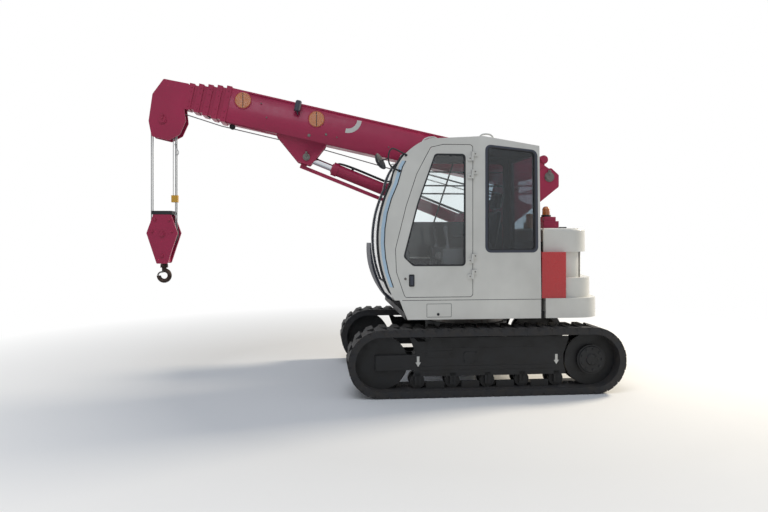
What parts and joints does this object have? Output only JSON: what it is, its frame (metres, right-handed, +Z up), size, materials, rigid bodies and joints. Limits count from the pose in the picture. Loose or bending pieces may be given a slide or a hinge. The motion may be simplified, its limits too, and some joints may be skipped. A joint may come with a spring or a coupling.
{
  "type": "telescopic crawler crane",
  "caption": "Compact telescopic crane on rubber tracks: slewing upper with cab and tail weight, luffing boom with nested sections, lift cylinder, winch, rope falls and hook block.",
  "frame": {"origin": "on the ground, on the slew axis", "axes": "+Z up, the machine looks towards -X, its left side with the cab is at -Y"},
  "size_m": [5.0617, 2.25, 3.3854],
  "materials": {
    "track_rubber": "moulded, matt",
    "frame_black": "satin black paint",
    "roller_steel": "worn steel",
    "white_paint": "gloss white paint",
    "red_paint": "gloss red paint",
    "grey_plastic": "moulded dark grey",
    "engine_iron": "cast",
    "amber_plastic": "clear amber",
    "glass": "tinted",
    "seat_cloth": "woven",
    "wire_rope": "laid wire",
    "chrome_rod": "ground and plated",
    "yellow_paint": "gloss yellow paint",
    "hook_steel": "forged, oiled"
  },
  "bodies": {
    "undercarriage": {"track_left": "track_rubber", "track_right": "track_rubber", "track_frames": "frame_black", "idlers": "frame_black", "sprockets": "frame_black", "travel_motors": "frame_black", "track_rollers": "roller_steel", "car_body": "frame_black", "slew_ring": "roller_steel"},
    "upper": {"deck": "frame_black", "side_skirts": "white_paint", "right_box": "white_paint", "front_cowl": "grey_plastic", "counterweight": "white_paint", "engine_hood": "white_paint", "engine": "engine_iron", "rear_panels": "red_paint", "beacon": "amber_plastic", "cab_shell": "white_paint", "windscreen": "glass", "cab_glass": "glass", "seat_base": "grey_plastic", "seat": "seat_cloth", "consoles": "grey_plastic", "turret": "red_paint"},
    "door": {"door": "white_paint", "door_glass": "glass", "door_handle": "grey_plastic"},
    "boom": {"boom_base": "red_paint", "winch_frame": "red_paint", "boom_rope": "wire_rope"},
    "winch_drum": {"winch_drum": "roller_steel"},
    "section_2": {"boom_section_2": "red_paint"},
    "section_3": {"boom_section_3": "red_paint"},
    "section_4": {"boom_section_4": "red_paint"},
    "section_5": {"boom_section_5": "red_paint", "boom_head": "red_paint", "head_sheaves": "roller_steel", "head_rope": "wire_rope"},
    "lift_barrel": {"lift_barrel": "red_paint"},
    "lift_rod": {"lift_rod": "chrome_rod"},
    "hoist_fall": {"hoist_ropes": "wire_rope", "hook_block": "red_paint", "block_sheaves": "roller_steel", "overhoist_weight": "yellow_paint"},
    "hook": {"hook": "hook_steel"}
  },
  "joints": [
    {"name": "slew", "type": "hinge", "parent": "undercarriage", "child": "upper", "pos_m": [0, 0, 0.762], "axis": [0, 0, 1], "continuous": true},
    {"name": "door_swing", "type": "hinge", "parent": "upper", "child": "door", "pos_m": [-0.165, -1.064, 1.765], "axis": [0, 0, 1], "range_deg": [0, 160]},
    {"name": "boom_luff", "type": "hinge", "parent": "upper", "child": "boom", "pos_m": [1.013, 0.19, 2.305], "axis": [0, 1, 0], "range_deg": [-12, 63]},
    {"name": "lift_tilt", "type": "hinge", "parent": "upper", "child": "lift_barrel", "pos_m": [0.2, 0.19, 1.7], "axis": [0, 1, 0], "range_deg": [-13, 64]},
    {"name": "lift_extend", "type": "slide", "parent": "lift_barrel", "child": "lift_rod", "axis": [-0.9285, 0, 0.3714], "range_m": [-0.2067, 1.064]},
    {"name": "telescope_2", "type": "slide", "parent": "boom", "child": "section_2", "axis": [-0.9781, 0, 0.2079], "range_m": [0, 2.9]},
    {"name": "telescope_3", "type": "slide", "parent": "section_2", "child": "section_3", "axis": [-0.9781, 0, 0.2079], "range_m": [0, 2.9]},
    {"name": "telescope_4", "type": "slide", "parent": "section_3", "child": "section_4", "axis": [-0.9781, 0, 0.2079], "range_m": [0, 2.9]},
    {"name": "telescope_5", "type": "slide", "parent": "section_4", "child": "section_5", "axis": [-0.9781, 0, 0.2079], "range_m": [0, 2.9]},
    {"name": "fall_hang", "type": "hinge", "parent": "section_5", "child": "hoist_fall", "pos_m": [-3.46706, 0.19, 2.91989], "axis": [0, 1, 0], "range_deg": [-64, 13]},
    {"name": "hook_swivel", "type": "hinge", "parent": "hoist_fall", "child": "hook", "pos_m": [-3.46706, 0.19, 1.29], "axis": [0, 0, 1], "continuous": true},
    {"name": "winch_turn", "type": "hinge", "parent": "boom", "child": "winch_drum", "pos_m": [0.44577, 0.19, 1.94507], "axis": [0, 1, 0], "continuous": true}
  ],
  "couplings": [
    {"joint": "lift_tilt", "follows": "boom_luff", "ratio": 1.0002},
    {"joint": "lift_extend", "follows": "boom_luff", "m_per_rad": 0.96312},
    {"joint": "fall_hang", "follows": "boom_luff", "ratio": -1},
    {"joint": "telescope_3", "follows": "telescope_2", "ratio": 1},
    {"joint": "telescope_4", "follows": "telescope_2", "ratio": 1},
    {"joint": "telescope_5", "follows": "telescope_2", "ratio": 1}
  ]
}
